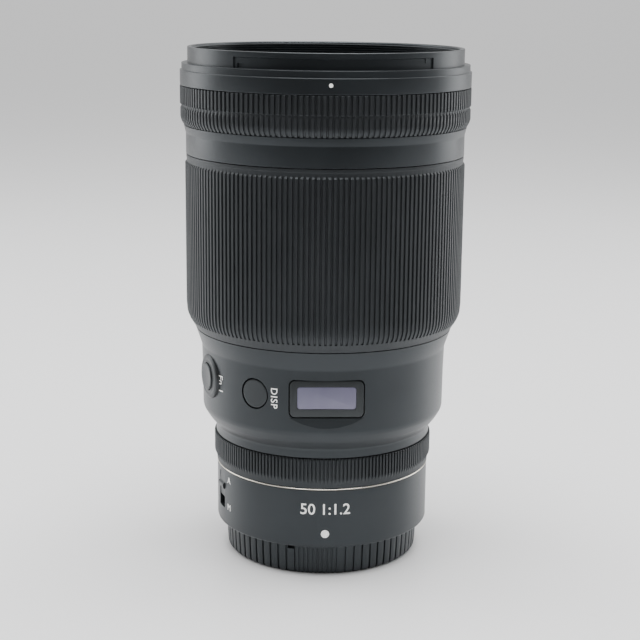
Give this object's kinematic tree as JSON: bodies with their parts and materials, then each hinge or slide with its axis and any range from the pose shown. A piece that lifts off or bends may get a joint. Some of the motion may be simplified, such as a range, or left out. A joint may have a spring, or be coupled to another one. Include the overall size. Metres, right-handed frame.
{
  "type": "camera lens",
  "caption": "Fast prime camera lens standing on its rear cap, with ribbed focus and control rings, a display window, push buttons, a mode switch, and a bladed aperture inside.",
  "frame": {"origin": "centre of the rear cap's standing face", "axes": "+Z along the optical axis towards the front element; the marked side with the display faces -Y"},
  "size_m": [0.0894, 0.0894, 0.1597],
  "materials": {
    "barrel_black": "fine matte paint",
    "ring_black": "matte anodised ribs",
    "baffle_black": "matte anti-reflection black",
    "trim_silver": "polished edge",
    "frame_black": "satin",
    "display_glass": "polished",
    "board_green": "satin",
    "button_black": "satin",
    "steel": "brushed",
    "mount_steel": "polished",
    "gasket_rubber": "matte",
    "gold": "polished",
    "cap_black": "fine matte",
    "rotor_aluminium": "anodised",
    "blade_black": "satin",
    "coated_glass": "multi-coated"
  },
  "bodies": {
    "housing": {"front_ring": "barrel_black", "name_ring": "baffle_black", "grip_ring": "ring_black", "front_barrel": "barrel_black", "core_barrel": "baffle_black", "mid_barrel": "barrel_black", "trim_ring": "trim_silver", "rear_barrel": "barrel_black", "display_frame": "frame_black", "display_window": "display_glass", "display_panel": "board_green", "fn_bezel": "frame_black", "button_switches": "steel", "switch_plate": "baffle_black", "mount_flange": "mount_steel", "mount_screws": "steel", "mount_gasket": "gasket_rubber", "contact_block": "baffle_black", "contact_pins": "gold", "rear_baffle": "baffle_black", "front_cell": "baffle_black", "rear_cell": "baffle_black", "iris_base": "baffle_black", "iris_cover": "baffle_black", "guide_rods": "steel", "focus_motors": "steel", "main_board": "board_green", "element_1": "coated_glass", "element_2": "coated_glass", "element_3": "coated_glass", "doublet_4_5": "coated_glass", "element_6": "coated_glass", "element_14": "coated_glass", "element_15": "coated_glass", "element_16": "coated_glass", "element_17": "coated_glass"},
    "focus_ring": {"focus_ring": "ring_black"},
    "control_ring": {"control_ring": "ring_black"},
    "disp_button": {"disp_button": "button_black"},
    "fn_button": {"fn_button": "button_black"},
    "mode_switch": {"switch_knob": "button_black"},
    "rear_cap": {"rear_cap": "cap_black"},
    "iris_drive": {"iris_rotor": "rotor_aluminium"},
    "focus_group_a": {"focus_cell_a": "baffle_black", "doublet_7_8": "coated_glass", "element_9": "coated_glass", "element_10": "coated_glass"},
    "focus_group_b": {"focus_cell_b": "baffle_black", "element_11": "coated_glass", "element_12": "coated_glass", "element_13": "coated_glass"},
    "blade_1": {"iris_blade_1": "blade_black"},
    "blade_2": {"iris_blade_2": "blade_black"},
    "blade_3": {"iris_blade_3": "blade_black"},
    "blade_4": {"iris_blade_4": "blade_black"},
    "blade_5": {"iris_blade_5": "blade_black"},
    "blade_6": {"iris_blade_6": "blade_black"},
    "blade_7": {"iris_blade_7": "blade_black"},
    "blade_8": {"iris_blade_8": "blade_black"},
    "blade_9": {"iris_blade_9": "blade_black"}
  },
  "joints": [
    {"name": "focus_turn", "type": "hinge", "parent": "housing", "child": "focus_ring", "pos_m": [0, 0, 0.0995], "axis": [0, 0, 1], "continuous": true},
    {"name": "control_turn", "type": "hinge", "parent": "housing", "child": "control_ring", "pos_m": [0, 0, 0.0335], "axis": [0, 0, 1], "continuous": true},
    {"name": "disp_press", "type": "slide", "parent": "housing", "child": "disp_button", "axis": [0.5621, 0.8271, 0], "range_m": [0, 0.0006]},
    {"name": "fn_press", "type": "slide", "parent": "housing", "child": "fn_button", "axis": [0.9265, 0.3762, 0], "range_m": [0, 0.0006]},
    {"name": "mode_slide", "type": "slide", "parent": "housing", "child": "mode_switch", "axis": [0, 0, -1], "range_m": [0, 0.0032]},
    {"name": "cap_turn", "type": "hinge", "parent": "housing", "child": "rear_cap", "pos_m": [0, 0, 0.0047], "axis": [0, 0, 1], "range_deg": [0, 45]},
    {"name": "focus_a_slide", "type": "slide", "parent": "housing", "child": "focus_group_a", "axis": [0, 0, 1], "range_m": [0, 0.004]},
    {"name": "focus_b_slide", "type": "slide", "parent": "housing", "child": "focus_group_b", "axis": [0, 0, 1], "range_m": [0, 0.0025]},
    {"name": "iris_turn", "type": "hinge", "parent": "housing", "child": "iris_drive", "pos_m": [0, 0, 0.0956], "axis": [0, 0, 1], "range_deg": [-28, 0]},
    {"name": "blade_1_turn", "type": "hinge", "parent": "housing", "child": "blade_1", "pos_m": [0.026, 0, 0.0935], "axis": [0, 0, 1], "range_deg": [0, 39]},
    {"name": "blade_2_turn", "type": "hinge", "parent": "housing", "child": "blade_2", "pos_m": [0.01992, 0.01671, 0.0935], "axis": [0, 0, 1], "range_deg": [0, 39]},
    {"name": "blade_3_turn", "type": "hinge", "parent": "housing", "child": "blade_3", "pos_m": [0.00451, 0.02561, 0.0935], "axis": [0, 0, 1], "range_deg": [0, 39]},
    {"name": "blade_4_turn", "type": "hinge", "parent": "housing", "child": "blade_4", "pos_m": [-0.013, 0.02252, 0.0935], "axis": [0, 0, 1], "range_deg": [0, 39]},
    {"name": "blade_5_turn", "type": "hinge", "parent": "housing", "child": "blade_5", "pos_m": [-0.02443, 0.00889, 0.0935], "axis": [0, 0, 1], "range_deg": [0, 39]},
    {"name": "blade_6_turn", "type": "hinge", "parent": "housing", "child": "blade_6", "pos_m": [-0.02443, -0.00889, 0.0935], "axis": [0, 0, 1], "range_deg": [0, 39]},
    {"name": "blade_7_turn", "type": "hinge", "parent": "housing", "child": "blade_7", "pos_m": [-0.013, -0.02252, 0.0935], "axis": [0, 0, 1], "range_deg": [0, 39]},
    {"name": "blade_8_turn", "type": "hinge", "parent": "housing", "child": "blade_8", "pos_m": [0.00451, -0.02561, 0.0935], "axis": [0, 0, 1], "range_deg": [0, 39]},
    {"name": "blade_9_turn", "type": "hinge", "parent": "housing", "child": "blade_9", "pos_m": [0.01992, -0.01671, 0.0935], "axis": [0, 0, 1], "range_deg": [0, 39]}
  ],
  "couplings": [
    {"joint": "blade_1_turn", "follows": "iris_turn", "ratio": -1.3889},
    {"joint": "blade_2_turn", "follows": "iris_turn", "ratio": -1.3889},
    {"joint": "blade_3_turn", "follows": "iris_turn", "ratio": -1.3889},
    {"joint": "blade_4_turn", "follows": "iris_turn", "ratio": -1.3889},
    {"joint": "blade_5_turn", "follows": "iris_turn", "ratio": -1.3889},
    {"joint": "blade_6_turn", "follows": "iris_turn", "ratio": -1.3889},
    {"joint": "blade_7_turn", "follows": "iris_turn", "ratio": -1.3889},
    {"joint": "blade_8_turn", "follows": "iris_turn", "ratio": -1.3889},
    {"joint": "blade_9_turn", "follows": "iris_turn", "ratio": -1.3889}
  ]
}
